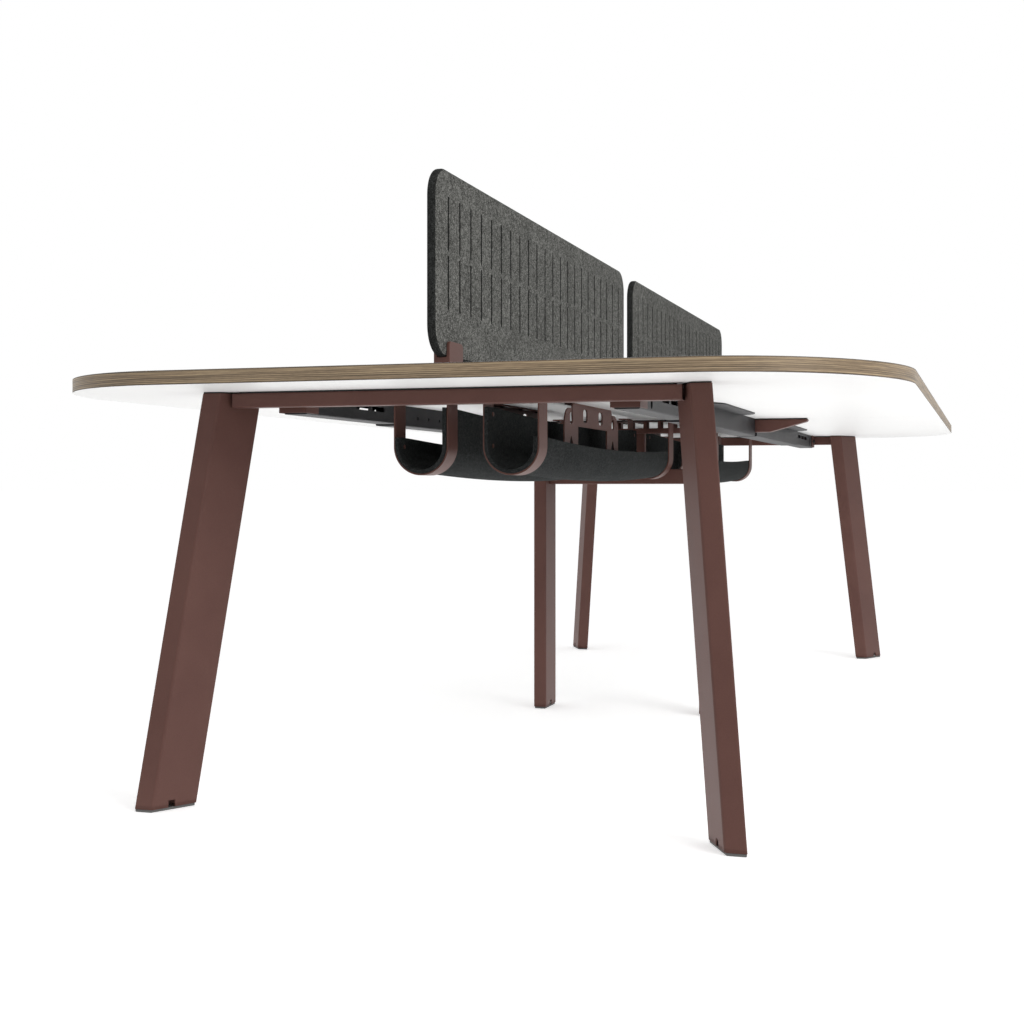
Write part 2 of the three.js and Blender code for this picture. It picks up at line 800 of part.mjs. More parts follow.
for (const end of ends) {
  const core = boardLayer(lowerLaminateTopZ, coreTopZ);
  const upperLaminate = boardLayer(coreTopZ, deskHeight);
  const lowerLaminate = boardLayer(undersideZ, lowerLaminateTopZ);
  place(`desktop_core_${end.name}`, core, plywood(), end.sign);
  place(`desktop_upper_laminate_${end.name}`, upperLaminate, whiteLaminate(), end.sign);
  place(`desktop_lower_laminate_${end.name}`, lowerLaminate, whiteLaminate(), end.sign);
  place(`end_crossbeam_${end.name}`, endCrossbeam(), brownSteel(), end.sign);
  place(`screen_${end.name}`, screen(), screenFelt(), end.sign);
  const clipX = { outer: screenEndX - clipInset, inner: screenStartX + clipInset };
  for (const [where, x] of Object.entries(clipX)) {
    place(`screen_clip_${where}_${end.name}`, screenClip(x), brownSteel(), end.sign);
  }
  for (const side of sides) {
    const spot = `${end.name}_${side.name}`;
    const leg = column(legSection(1), undersideZ, legLean(1), legNotchShare);
    place(`end_leg_${spot}`, leg, brownSteel(), end.sign, side.sign);
    place(`levelling_foot_${spot}`, levellingFoot(legSection(1)), greyPlastic(), end.sign, side.sign);
    place(`rail_${spot}`, rail(), blackSteel(), end.sign, side.sign);
    place(`rail_sleeve_${spot}`, railSleeve(), blackSteel(), end.sign, side.sign);
    place(`rail_bracket_${spot}`, railBracket(), brownSteel(), end.sign, side.sign);
    place(`cable_tray_${spot}`, cableTray(), trayFelt(), end.sign, side.sign);
    place(`tray_strap_outer_${spot}`, trayStrap(straps.outer), brownSteel(), end.sign, side.sign);
    place(`tray_strap_inner_${spot}`, trayStrap(straps.inner), brownSteel(), end.sign, side.sign);
    place(`cable_plate_${spot}`, cablePlate(), brownSteel(), end.sign, side.sign);
  }
}

place("middle_upper_crossbeam", upperCrossbeam(), brownSteel());
place("middle_lower_crossbeam", lowerCrossbeam(), brownSteel());
for (const side of sides) {
  const post = column(postSection(), postTopZ, upright, postNotchShare);
  place(`middle_post_${side.name}`, post, brownSteel(), 1, side.sign);
  place(`middle_riser_${side.name}`, riser(), brownSteel(), 1, side.sign);
  place(`levelling_foot_middle_${side.name}`, levellingFoot(postSection()), greyPlastic(), 1, side.sign);
}

export default desk;
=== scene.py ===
from math import pi, radians

import bmesh
import bpy
from mathutils import Matrix, Vector


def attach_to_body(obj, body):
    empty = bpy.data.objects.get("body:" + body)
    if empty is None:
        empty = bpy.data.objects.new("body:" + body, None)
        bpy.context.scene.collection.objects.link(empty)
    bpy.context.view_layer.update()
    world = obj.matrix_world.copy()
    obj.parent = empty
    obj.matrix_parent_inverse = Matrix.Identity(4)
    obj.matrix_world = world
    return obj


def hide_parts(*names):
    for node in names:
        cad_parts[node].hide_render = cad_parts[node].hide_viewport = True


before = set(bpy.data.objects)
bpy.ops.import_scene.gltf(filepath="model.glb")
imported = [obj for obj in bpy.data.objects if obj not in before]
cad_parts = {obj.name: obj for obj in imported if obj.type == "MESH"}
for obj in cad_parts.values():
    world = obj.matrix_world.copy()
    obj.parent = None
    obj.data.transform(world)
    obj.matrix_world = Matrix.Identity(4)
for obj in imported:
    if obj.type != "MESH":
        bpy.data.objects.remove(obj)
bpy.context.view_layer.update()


# End legs. Flat steel tube, slanted in section and leaning in towards the top, with a dark
# red-brown powder coat. The foot is open below, with an access notch through both wide
# faces. The head is closed and carries a thin pad that keeps steel off the board; the pad is
# coloured near black to paint the shade of the gap between the leg and the board.
underside = 0.726
foot_height = 0.005
web_height = 0.0172
pad_thickness = 0.0025
tube_wall = 0.0018
tube_round = 0.004
notch_width = 0.013
notch_top = 0.017
stem_bore_radius = 0.0044
stem_bore_top = 0.054
leg_low_x, leg_high_x = 1.336, 1.419
leg_low_y, leg_high_y = 0.492, 0.528
leg_slant = 0.040
leg_lean = Vector((-0.107, -0.073, 0)) / underside
leg_notch_x = leg_high_x - 0.44 * (leg_high_x - leg_low_x)
ends = {"a": -1, "b": 1}
sides = {"left": 1, "right": -1}


class Wire:
    """A shader socket. Sums on it add Math nodes, and node() adds any other node."""

    def __init__(self, tree, socket=None):
        self.tree = tree
        self.socket = socket

    def node(self, kind, settings, values, out=0):
        made = self.tree.nodes.new(kind)
        for word, setting in settings.items():
            if word == "stops":
                stops = made.color_ramp.elements
                while len(stops) < len(setting):
                    stops.new(1.0)
                for stop, (position, colour) in zip(stops, setting):
                    stop.position = position
                    stop.color = colour
            else:
                setattr(made, word, setting)
        for key, value in values.items():
            if isinstance(value, Wire):
                self.tree.links.new(value.socket, made.inputs[key])
            else:
                made.inputs[key].default_value = value
        return Wire(self.tree, made.outputs[out] if made.outputs else None)

    def maths(self, operation, first, second=0.0):
        return self.node("ShaderNodeMath", {"operation": operation}, {0: first, 1: second})

    def __add__(self, other):
        return self.maths("ADD", self, other)

    def __radd__(self, other):
        return self.maths("ADD", other, self)

    def __sub__(self, other):
        return self.maths("SUBTRACT", self, other)

    def __rsub__(self, other):
        return self.maths("SUBTRACT", other, self)

    def __mul__(self, other):
        return self.maths("MULTIPLY", self, other)

    def __rmul__(self, other):
        return self.maths("MULTIPLY", other, self)


def tint(red, green, blue):
    """A display colour of 0 to 255 as the linear colour that a shader takes."""
    parts = [part / 255 for part in (red, green, blue)]
    return [part / 12.92 if part <= 0.04045 else ((part + 0.055) / 1.055) ** 2.4 for part in parts] + [1.0]


def new_finish(name):
    """An empty material, the start of its nodes and the place of each point in metres."""
    material = bpy.data.materials.new(name)
    material.use_nodes = True
    material.node_tree.nodes.clear()
    start = Wire(material.node_tree)
    return material, start, start.node("ShaderNodeTexCoord", {}, {}, "Object")


def cover(start, values):
    """The surface that ends a finish."""
    surface = start.node("ShaderNodeBsdfPrincipled", {}, values)
    start.node("ShaderNodeOutputMaterial", {}, {"Surface": surface})


def between(start, share, low, high):
    """A colour between two others."""
    return start.node("ShaderNodeMix", {"data_type": "RGBA"}, {0: share, 6: low, 7: high}, 2)


def noise(start, vector, scale, detail=2.0):
    """Soft random grey, spread to the full range from 0 to 1."""
    grey = start.node("ShaderNodeTexNoise", {}, {"Vector": vector, "Scale": scale, "Detail": detail})
    return start.node("ShaderNodeMapRange", {}, {"Value": grey, "From Min": 0.3, "From Max": 0.7})


def dent(start, height, depth, strength=1.0):
    """Small hollows and rises of a depth in metres."""
    return start.node("ShaderNodeBump", {}, {"Strength": strength, "Distance": depth, "Height": height})


def baked_coat(name, deep, light, roughness):
    """Baked powder paint: a fine orange-peel grain and slow drifts in tone and gloss."""
    material, start, place = new_finish(name)
    grain = noise(start, place, 650.0)
    drift = noise(start, place, 7.0, 3.0)
    colour = between(start, grain * 0.35 + drift * 0.65, tint(*deep), tint(*light))
    gloss = roughness + 0.05 * drift - 0.03 * grain
    cover(start, {"Base Color": colour, "Roughness": gloss, "Specular IOR Level": 0.2,
                  "Normal": dent(start, grain, 0.00012, 0.35)})
    return material


def rubber(name, deep, light):
    """Dull black rubber with a faint bloom."""
    material, start, place = new_finish(name)
    bloom = noise(start, place, 160.0, 4.0)
    colour = between(start, bloom, tint(*deep), tint(*light))
    cover(start, {"Base Color": colour, "Roughness": 0.75, "Normal": dent(start, bloom, 0.0001, 0.3)})
    return material


brown_coat = baked_coat("brown_powder_coat", (84, 55, 49), (96, 66, 59), 0.5)
# The pads' near-black colour is painted shade: it stands for the dark gap line between the frame and the board.
painted_gap_shade_pad = rubber("pad_rubber_painted_gap_shade", (8, 8, 8), (16, 15, 15))


def take_up(piece):
    """The piece alone is selected and active, so that an operator acts on it."""
    bpy.ops.object.select_all(action="DESELECT")
    piece.select_set(True)
    bpy.context.view_layer.objects.active = piece


def keep_place(piece, name, finish=None):
    """Names a new primitive, and moves its place and size into its mesh."""
    take_up(piece)
    piece.name = name
    bpy.ops.object.transform_apply(location=True, rotation=True, scale=True)
    if finish:
        piece.data.materials.append(finish)
    return piece


def bar(name, low, high, finish=None):
    """Straight stock between two opposite corners."""
    bpy.ops.object.select_all(action="DESELECT")
    bpy.ops.mesh.primitive_cube_add(size=1, location=[(a + b) / 2 for a, b in zip(low, high)])
    piece = bpy.context.object
    piece.scale = [b - a for a, b in zip(low, high)]
    return keep_place(piece, name, finish)


def rod(name, radius, low, high, x, y, sides_round, finish=None):
    """Round stock standing at one place."""
    bpy.ops.object.select_all(action="DESELECT")
    bpy.ops.mesh.primitive_cylinder_add(
        vertices=sides_round, radius=radius, depth=high - low, location=(x, y, (low + high) / 2))
    return keep_place(bpy.context.object, name, finish)


def pick(piece, kind, test):
    """Edit mode, with the faces or edges selected whose middle and direction pass a test."""
    take_up(piece)
    bpy.ops.object.mode_set(mode="EDIT")
    bpy.ops.mesh.select_mode(type=kind)
    bpy.ops.mesh.select_all(action="DESELECT")
    mesh = bmesh.from_edit_mesh(piece.data)
    if kind == "FACE":
        for face in mesh.faces:
            face.select_set(test(face.calc_center_median(), face.normal))
    else:
        for edge in mesh.edges:
            first, last = (vertex.co for vertex in edge.verts)
            edge.select_set(test((first + last) / 2, (last - first).normalized()))
    mesh.select_flush_mode()
    bmesh.update_edit_mesh(piece.data)


def put_down():
    bpy.ops.object.mode_set(mode="OBJECT")


def round_edges(piece, test, radius, segments=4):
    """A radius on chosen edges."""
    pick(piece, "EDGE", test)
    bpy.ops.mesh.bevel(offset=radius, segments=segments, affect="EDGES")
    put_down()


def shift_faces(piece, test, step):
    """Chosen faces are moved along with what hangs on them."""
    pick(piece, "FACE", test)
    bpy.ops.transform.translate(value=step)
    put_down()


def cut(piece, *tools):
    """The tools' shapes are taken out of the piece, and the tools put away."""
    for tool in tools:
        take_up(piece)
        bpy.ops.object.modifier_add(type="BOOLEAN")
        piece.modifiers[-1].object = tool
        bpy.ops.object.modifier_apply(modifier=piece.modifiers[-1].name)
        bpy.data.objects.remove(tool)


def ease(piece, width, segments=2, angle=35):
    """The sharp edges that are left are broken by a small radius."""
    take_up(piece)
    bpy.ops.object.modifier_add(type="BEVEL")
    edge_break = piece.modifiers[-1]
    edge_break.width = width
    edge_break.segments = segments
    edge_break.angle_limit = radians(angle)
    edge_break.use_clamp_overlap = True
    bpy.ops.object.modifier_apply(modifier=edge_break.name)


def repeat(piece, count, step):
    """A row of copies at a fixed step, in one mesh."""
    take_up(piece)
    bpy.ops.object.modifier_add(type="ARRAY")
    row = piece.modifiers[-1]
    row.use_relative_offset = False
    row.use_constant_offset = True
    row.constant_offset_displace = step
    row.count = count
    bpy.ops.object.modifier_apply(modifier=row.name)


def attach(piece, *others):
    """Other pieces become part of this one."""
    take_up(piece)
    for other in others:
        other.select_set(True)
    bpy.ops.object.join()


def mirrored(piece, name, along, across):
    """A copy with its own mesh, turned over to another end or side of the desk."""
    twin = bpy.data.objects.new(name, piece.data.copy())
    bpy.context.scene.collection.objects.link(twin)
    twin.data.transform(Matrix.Diagonal((along, across, 1, 1)))
    if along * across < 0:
        twin.data.flip_normals()
    return twin


def settle(piece, slot, body, *nodes):
    """Smooth shading over the soft edges, and the piece's place in the frame."""
    take_up(piece)
    bpy.ops.object.shade_smooth_by_angle(angle=radians(40))
    bpy.ops.object.modifier_add(type="WEIGHTED_NORMAL")
    piece.modifiers[-1].keep_sharp = True
    bpy.ops.object.modifier_apply(modifier=piece.modifiers[-1].name)
    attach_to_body(piece, body)
    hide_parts(*nodes)


def quarters(piece, slot, body, node):
    """One copy for each end and side of the desk; the pattern piece is put away."""
    for end, along in ends.items():
        for side, across in sides.items():
            spot = f"{end}_{side}"
            twin = mirrored(piece, f"{piece.name}_{spot}", along, across)
            settle(twin, slot, body.format(spot), node.format(spot))
    bpy.data.objects.remove(piece)


def upright(middle, direction):
    return abs(direction.z) > 0.99


def flat_tube(name, low, high, slant, lean, notch_x, notch_reach, top_z):
    """Flat tube, slanted and leaned, with its open foot, its notch and the bore for the foot's stem."""
    tube = bar(name, (*low, foot_height), (*high, top_z), brown_coat)
    shift_faces(tube, lambda middle, normal: normal.x < -0.9, (0, -slant, 0))
    round_edges(tube, upright, tube_round, 5)
    for height in (foot_height, top_z):
        up = height > foot_height
        shift_faces(tube, lambda middle, normal: normal.z * (1 if up else -1) > 0.9, lean * height)
    pick(tube, "FACE", lambda middle, normal: normal.z < -0.9)
    bpy.ops.mesh.inset(thickness=tube_wall)
    rise = web_height - foot_height
    bpy.ops.mesh.extrude_region_move(TRANSFORM_OT_translate={"value": (lean.x * rise, lean.y * rise, rise)})
    put_down()
    half = notch_width / 2
    cut(tube, bar("notch", (notch_x - half, notch_reach[0], -0.01), (notch_x + half, notch_reach[1], notch_top)),
        rod("stem_bore", stem_bore_radius, 0, stem_bore_top,
            (low[0] + high[0]) / 2, (low[1] + high[1] - slant) / 2, 24))
    return tube


def paint(piece, finish, test):
    """Faces whose middle and normal pass a test get another finish."""
    piece.data.materials.append(finish)
    number = len(piece.data.materials) - 1
    for face in piece.data.polygons:
        if test(face.center, face.normal):
            face.material_index = number


leg = flat_tube("leg_tube", (leg_low_x, leg_low_y), (leg_high_x, leg_high_y), leg_slant, leg_lean,
                leg_notch_x, (0.4, 0.6), underside - pad_thickness)
ease(leg, 0.0009, 3)
pick(leg, "FACE", lambda middle, normal: normal.z > 0.99 and middle.z > 0.7)
bpy.ops.mesh.inset(thickness=0.0009)
bpy.ops.mesh.extrude_region_move(TRANSFORM_OT_translate={"value": (0, 0, pad_thickness)})
put_down()
# The pad on the leg's head takes the near-black colour, painted shade of the gap under the board.
paint(leg, painted_gap_shade_pad, lambda middle, normal: middle.z > underside - pad_thickness + 0.0002)
quarters(leg, "brown_frame", "frame", "end_leg_{}")


# Middle posts. The same flat tube, upright, below the middle crossbeam.
post_y = 0.2105
post_half_length = 0.046
post_half_thickness = 0.016
post_top = 0.693

post = flat_tube("post_tube", (-post_half_length, post_y - post_half_thickness),
                 (post_half_length, post_y + post_half_thickness), 0, Vector((0, 0, 0)),
                 0, (0.1, 0.3), post_top)
ease(post, 0.0006, 2)
for side, across in sides.items():
    settle(mirrored(post, f"post_tube_{side}", 1, across), "brown_frame", "frame", f"middle_post_{side}")
bpy.data.objects.remove(post)


# Levelling feet. A thin moulded grey pad shaped like the tube above it, a threaded steel
# stem, a ribbed black wheel that is turned through the notch, and a plated collar that
# carries the tube's web.
pad_height = 0.0045
pad_inset = 0.002
stem_radius = 0.004
stem_top = 0.050
thread_pitch = 0.0015
wheel_radius = 0.009
wheel_low, wheel_high = 0.006, 0.010
collar_radius = 0.007
collar_low, collar_high = 0.0115, 0.0168


def moulded(name, deep, light, roughness):
    """Moulded plastic with a fine spark-eroded texture."""
    material, start, place = new_finish(name)
    texture = noise(start, place, 1100.0)
    flow = noise(start, place, 40.0, 3.0)
    colour = between(start, flow * 0.7 + texture * 0.3, tint(*deep), tint(*light))
    gloss = roughness + 0.08 * texture
    cover(start, {"Base Color": colour, "Roughness": gloss, "Normal": dent(start, texture, 0.0001, 0.4)})
    return material


def plated(name, deep, light, roughness):
    """Zinc-plated or blackened steel, brushed a little by the tools."""
    material, start, place = new_finish(name)
    wear = noise(start, place, 300.0, 5.0)
    colour = between(start, wear, tint(*deep), tint(*light))
    gloss = roughness + 0.15 * wear
    cover(start, {"Base Color": colour, "Metallic": 0.9, "Roughness": gloss,
                  "Normal": dent(start, wear, 0.00005, 0.5)})
    return material


grey_plastic = moulded("grey_plastic", (88, 88, 87), (108, 108, 106), 0.55)
black_plastic = moulded("black_plastic", (16, 16, 16), (28, 28, 28), 0.45)
plated_steel = plated("plated_steel", (110, 108, 104), (160, 158, 152), 0.28)


def levelling_foot(name, low, high, slant):
    """Pad, stem, wheel and collar as one foot."""
    pad = bar(name, (low[0] + pad_inset, low[1] + pad_inset, 0),
              (high[0] - pad_inset, high[1] - pad_inset, pad_height), grey_plastic)
    shift_faces(pad, lambda middle, normal: normal.x < -0.9, (0, -slant, 0))
    round_edges(pad, upright, tube_round - pad_inset, 4)
    round_edges(pad, lambda middle, direction: middle.z < 0.0001, 0.0018, 4)
    ease(pad, 0.0005)
    x = (low[0] + high[0]) / 2
    y = (low[1] + high[1] - slant) / 2
    stem = rod("stem", stem_radius - 0.0004, pad_height / 2, stem_top, x, y, 20, plated_steel)
    ease(stem, 0.0008)
    bpy.ops.object.select_all(action="DESELECT")
    bpy.ops.mesh.primitive_torus_add(
        location=(x, y, pad_height + thread_pitch), major_segments=20, minor_segments=6,
        major_radius=stem_radius - 0.0005, minor_radius=0.0005)
    thread = keep_place(bpy.context.object, "thread", plated_steel)
    repeat(thread, int((stem_top - pad_height) / thread_pitch) - 1, (0, 0, thread_pitch))
    wheel = rod("wheel", wheel_radius - 0.0006, wheel_low, wheel_high, x, y, 36, black_plastic)
    pick(wheel, "FACE", lambda middle, normal: abs(normal.z) < 0.1
         and int((Vector((middle.x - x, middle.y - y)).angle_signed(Vector((1, 0))) / pi + 1) * 18) % 2 == 0)
    bpy.ops.mesh.extrude_region_shrink_fatten(TRANSFORM_OT_shrink_fatten={"value": 0.0006})
    put_down()
    ease(wheel, 0.0003)
    collar = rod("collar", collar_radius, collar_low, collar_high, x, y, 24, plated_steel)
    ease(collar, 0.0005)
    attach(pad, stem, thread, wheel, collar)
    return pad


quarters(levelling_foot("foot", (leg_low_x, leg_low_y), (leg_high_x, leg_high_y), leg_slant),
         "grey_foot", "foot_{}", "levelling_foot_{}")
middle_foot = levelling_foot("foot_middle", (-post_half_length, post_y - post_half_thickness),
                             (post_half_length, post_y + post_half_thickness), 0)
for side, across in sides.items():
    settle(mirrored(middle_foot, f"foot_middle_piece_{side}", 1, across), "grey_foot",
           f"foot_middle_{side}", f"levelling_foot_middle_{side}")
bpy.data.objects.remove(middle_foot)


# End crossbeams. Square steel tube between the leg heads, sawn off straight, with its inner
# corners trimmed to the legs' slant. A thin pad lies on it under the board, coloured near
# black to paint the shade of the gap between the beam and the board.
end_beam_low_x, end_beam_high_x = 1.269, 1.299
end_beam_reach = 0.403
end_beam_bottom = 0.698
beam_round = 0.003
beam_wall = 0.002
weld_gap = 0.0003
leg_face = Vector((leg_high_x - leg_low_x, leg_slant, 0))
leg_face_out = leg_face.cross(Vector((leg_lean.x, leg_lean.y, 1))).normalized()


def long_edges(axis):
    """A test for the edges that run along one axis."""
    return lambda middle, direction: abs(direction[axis]) > 0.99


def saw(piece, at, away):
    """A straight cut at a plane; what lies beyond it falls off and the end is closed."""
    pick(piece, "FACE", lambda middle, normal: True)
    bpy.ops.mesh.bisect(plane_co=at, plane_no=away, use_fill=True, clear_outer=True)
    put_down()


end_beam = bar("end_beam", (end_beam_low_x, -end_beam_reach, end_beam_bottom),
               (end_beam_high_x, end_beam_reach, underside - pad_thickness), brown_coat)
round_edges(end_beam, long_edges(1), beam_round)
leg_corner = Vector((leg_low_x, leg_low_y - leg_slant, 0))
for across in (1, -1):
    turned = Matrix.Diagonal((1, across, 1))
    away = leg_face_out if leg_face_out.y > 0 else -leg_face_out
    saw(end_beam, turned @ (leg_corner - away * weld_gap), turned @ away)
cut(end_beam, bar("bore", (end_beam_low_x + beam_wall, -end_beam_reach - 0.1, end_beam_bottom + beam_wall),
                  (end_beam_high_x - beam_wall, end_beam_reach + 0.1, underside - pad_thickness - beam_wall)))
ease(end_beam, 0.0005)
# Near-black pad on the beam: painted shade of the gap under the board.
end_pad = bar("end_pad", (end_beam_low_x + 0.002, -0.39, underside - pad_thickness),
              (end_beam_high_x - 0.002, 0.39, underside), painted_gap_shade_pad)
ease(end_pad, 0.0004)
attach(end_beam, end_pad)
for end, along in ends.items():
    settle(mirrored(end_beam, f"end_beam_{end}", along, 1), "brown_frame", "frame", f"end_crossbeam_{end}")
bpy.data.objects.remove(end_beam)


# Middle frame. A lower crossbeam welded between the posts, two short risers on it, and an
# upper crossbeam over both posts, with tapered tips and a row of windows sawn through it.
middle_half = 0.015
taper_start, taper_end = 0.362, 0.453
taper_depth = 0.008
window_count, window_pitch = 11, 0.036
window_width, window_height, window_drop = 0.028, 0.0165, 0.004
lower_beam_bottom, lower_beam_top = 0.567, 0.604

upper_beam = bar("upper_beam", (-middle_half, -taper_end, post_top),
                 (middle_half, taper_end, underside - pad_thickness), brown_coat)
round_edges(upper_beam, long_edges(1), 0.0025, 3)
for across in (1, -1):
    saw(upper_beam, (0, across * taper_start, post_top),
        (0, across * (underside - taper_depth - post_top), taper_start - taper_end))
first_window = -(window_count - 1) / 2 * window_pitch
window_top = underside - window_drop
window = bar("window", (-0.02, first_window - window_width / 2, window_top - window_height),
             (0.02, first_window + window_width / 2, window_top))
round_edges(window, long_edges(0), 0.0012, 2)
repeat(window, window_count, (0, window_pitch, 0))
hollow = bar("hollow", (beam_wall - middle_half, -taper_start, post_top + beam_wall),
             (middle_half - beam_wall, taper_start, underside - pad_thickness - beam_wall))
cut(upper_beam, hollow, window)
round_edges(upper_beam, lambda middle, direction: abs(direction.x) > 0.99 and abs(middle.y) > taper_end - 0.001
            and middle.z < underside - 0.006, 0.004, 5)
ease(upper_beam, 0.0005)
# Near-black pad on the upper beam: painted shade of the gap under the board.
middle_pad = bar("middle_pad", (0.0015 - middle_half, 0.003 - taper_end, underside - pad_thickness),
                 (middle_half - 0.0015, taper_end - 0.003, underside), painted_gap_shade_pad)
ease(middle_pad, 0.0004)
attach(upper_beam, middle_pad)
settle(upper_beam, "brown_frame", "frame", "middle_upper_crossbeam")

lower_beam = bar("lower_beam", (-middle_half, post_half_thickness - post_y, lower_beam_bottom),
                 (middle_half, post_y - post_half_thickness, lower_beam_top), brown_coat)
round_edges(lower_beam, long_edges(1), beam_round)
ease(lower_beam, 0.0004)
settle(lower_beam, "brown_frame", "frame", "middle_lower_crossbeam")

riser = bar("riser", (-0.010, 0.0285, lower_beam_top), (0.010, 0.0515, post_top), brown_coat)
round_edges(riser, upright, beam_round)
ease(riser, 0.0004)
for side, across in sides.items():
    settle(mirrored(riser, f"riser_{side}", 1, across), "brown_frame", "frame", f"middle_riser_{side}")
bpy.data.objects.remove(riser)


# Rail brackets. Folded steel plates welded to the end crossbeams; each has a cheek on
# either side of its rail and two bolts through the cheek.
rail_low_y, rail_high_y = 0.279, 0.324
sheet = 0.003
bracket_low_x, bracket_high_x = 1.212, 1.269
bracket_bottom = 0.689
rail_gap = 0.0003
bracket_low_y, bracket_high_y = rail_low_y - rail_gap - sheet, rail_high_y + rail_gap + sheet
bolt_xs, bolt_z = (1.228, 1.250), 0.708
bolt_radius, bolt_height = 0.0055, 0.003
dark_screw = plated("dark_screw", (34, 33, 33), (58, 57, 56), 0.35)


def pan_head(name, x, y, z, radius, height, axis="Z", point=-1):
    """A low round screw head with a cross recess, facing one way along an axis."""
    head = rod(name, radius, 0, height, 0, 0, 20, dark_screw)
    round_edges(head, lambda middle, direction: middle.z > height * 0.9, height * 0.6, 3)
    arm = radius * 0.5
    slim = radius * 0.14
    cut(head, bar("recess", (-arm, -slim, height * 0.45), (arm, slim, height * 2)),
        bar("recess", (-slim, -arm, height * 0.45), (slim, arm, height * 2)))
    turn = {"Z": Matrix.Rotation(pi if point < 0 else 0, 4, "X"),
            "Y": Matrix.Rotation(pi / 2 if point < 0 else -pi / 2, 4, "X")}[axis]
    head.data.transform(Matrix.Translation((x, y, z)) @ turn)
    return head


bracket = bar("rail_bracket", (bracket_low_x, bracket_low_y, bracket_bottom),
              (bracket_high_x, bracket_high_y, underside), brown_coat)
round_edges(bracket, lambda middle, direction: abs(direction.z) > 0.99 and middle.x > 1.25, 0.003, 3)
cut(bracket, bar("inside", (1.2, bracket_low_y + sheet, 0.6),
                 (bracket_high_x - sheet, bracket_high_y - sheet, 0.8)))
ease(bracket, 0.0005)
attach(bracket, *[pan_head("bolt", x, bracket_high_y, bolt_z, bolt_radius, bolt_height, "Y", 1)
                  for x in bolt_xs])
quarters(bracket, "brown_frame", "frame", "rail_bracket_{}")


# Rails. Black coated rectangular steel tube with long slots through both walls, and one
# upright slot near the end frame. They run into the sleeves.
rail_low_x, rail_high_x = 0.600, 1.253
rail_bottom = 0.687
outer_slot_count, inner_slot_count = 6, 2
slot_length, slot_width, slot_pitch = 0.062, 0.009, 0.077
slot_centre_z = underside - 0.014
outer_slot_inset, inner_slot_inset = 0.204, 0.248
end_slot_near, end_slot_far = 0.080, 0.094
end_slot_low, end_slot_high, end_slot_round = 0.691, 0.717, 0.0069
black_coat = baked_coat("black_powder_coat", (24, 24, 26), (36, 36, 38), 0.5)


def slot_tool(name, low, high, axis, radius):
    """A cutter with rounded corners that runs along one axis."""
    tool = bar(name, low, high)
    round_edges(tool, long_edges(axis), radius, 5)
    return tool


def slot_row(middle_x, low_y, high_y, count):
    """Cutters for a row of long slots through one wall of a rail."""
    row = slot_tool("slots", (middle_x - slot_length / 2, low_y, slot_centre_z - slot_width / 2),
                    (middle_x + slot_length / 2, high_y, slot_centre_z + slot_width / 2), 1,
                    slot_width / 2 - 0.0001)
    repeat(row, count, (-slot_pitch, 0, 0))
    return row


rail = bar("rail_tube", (rail_low_x, rail_low_y, rail_bottom), (rail_high_x, rail_high_y, underside),
           black_coat)
round_edges(rail, long_edges(0), sheet, 4)
bore = bar("bore", (0.5, rail_low_y + sheet, rail_bottom + sheet),
           (1.3, rail_high_y - sheet, underside - sheet))
end_slot = slot_tool("slot", (rail_high_x - end_slot_far, 0.31, end_slot_low),
                     (rail_high_x - end_slot_near, 0.34, end_slot_high), 1, end_slot_round)
cut(rail, bore, slot_row(rail_high_x - outer_slot_inset, 0.31, 0.34, outer_slot_count),
    slot_row(rail_high_x - inner_slot_inset, 0.26, 0.29, inner_slot_count), end_slot)
ease(rail, 0.0005)
quarters(rail, "black_rail", "frame", "rail_{}")


# Rail sleeves. Black coated steel folded to a trough that takes a rail, welded to the middle
# frame, with a flat wing against the board that has cut and rounded corners.
sleeve_low_x, sleeve_high_x = 0.015, 0.829
sleeve_low_y, sleeve_web_y = rail_low_y - rail_gap - sheet, rail_high_y + rail_gap
sleeve_bottom = 0.6837
wing_low_x, wing_high_x, wing_edge_y = 0.255, 0.745, 0.3703
wing_bevel_width, wing_bevel_length, wing_round = 0.020, 0.040, 0.012
hole_radius, hole_count, hole_pitch = 0.004, 3, 0.064
hole_inset, hole_drop = 0.106, 0.023

sleeve = bar("rail_sleeve_trough", (sleeve_low_x, sleeve_low_y, sleeve_bottom),
             (sleeve_high_x, sleeve_web_y + sheet, underside), black_coat)
round_edges(sleeve, lambda middle, direction: abs(direction.x) > 0.99 and middle.z < 0.7, sheet, 4)
cut(sleeve, bar("inside", (0, sleeve_low_y + sheet, sleeve_bottom + sheet), (0.9, sleeve_web_y, 0.8)))
holes = rod("holes", hole_radius, -0.02, 0.02, 0, 0, 20)
hole_at = Matrix.Translation((sleeve_high_x - hole_inset, sleeve_low_y, underside - hole_drop))
holes.data.transform(hole_at @ Matrix.Rotation(pi / 2, 4, "X"))
repeat(holes, hole_count, (-hole_pitch, 0, 0))
cut(sleeve, holes)
ease(sleeve, 0.0005)
wing = bar("wing", (wing_low_x, sleeve_web_y + 0.0005, underside - sheet),
           (wing_high_x, wing_edge_y, underside), black_coat)
for x, out in ((wing_low_x, -1), (wing_high_x, 1)):
    saw(wing, (x, wing_edge_y - wing_bevel_width, 0), (out * wing_bevel_width, wing_bevel_length, 0))
round_edges(wing, lambda middle, direction: abs(direction.z) > 0.99 and middle.y > 0.33, wing_round, 6)
ease(wing, 0.0005)
attach(sleeve, wing)
quarters(sleeve, "black_rail", "frame", "rail_sleeve_{}")


# Desktop. Two boards that meet over the middle frame. Each is a layered plywood core, with
# a white laminate pressed on both faces; the edge is sanded, oiled and lightly broken.
board_end, board_side = 1.500, 0.758
corner_length, corner_width = 0.370, 0.320
seam = 0.00025
core_bottom, core_top, board_top = 0.727, 0.749, 0.750
ply_count = 15


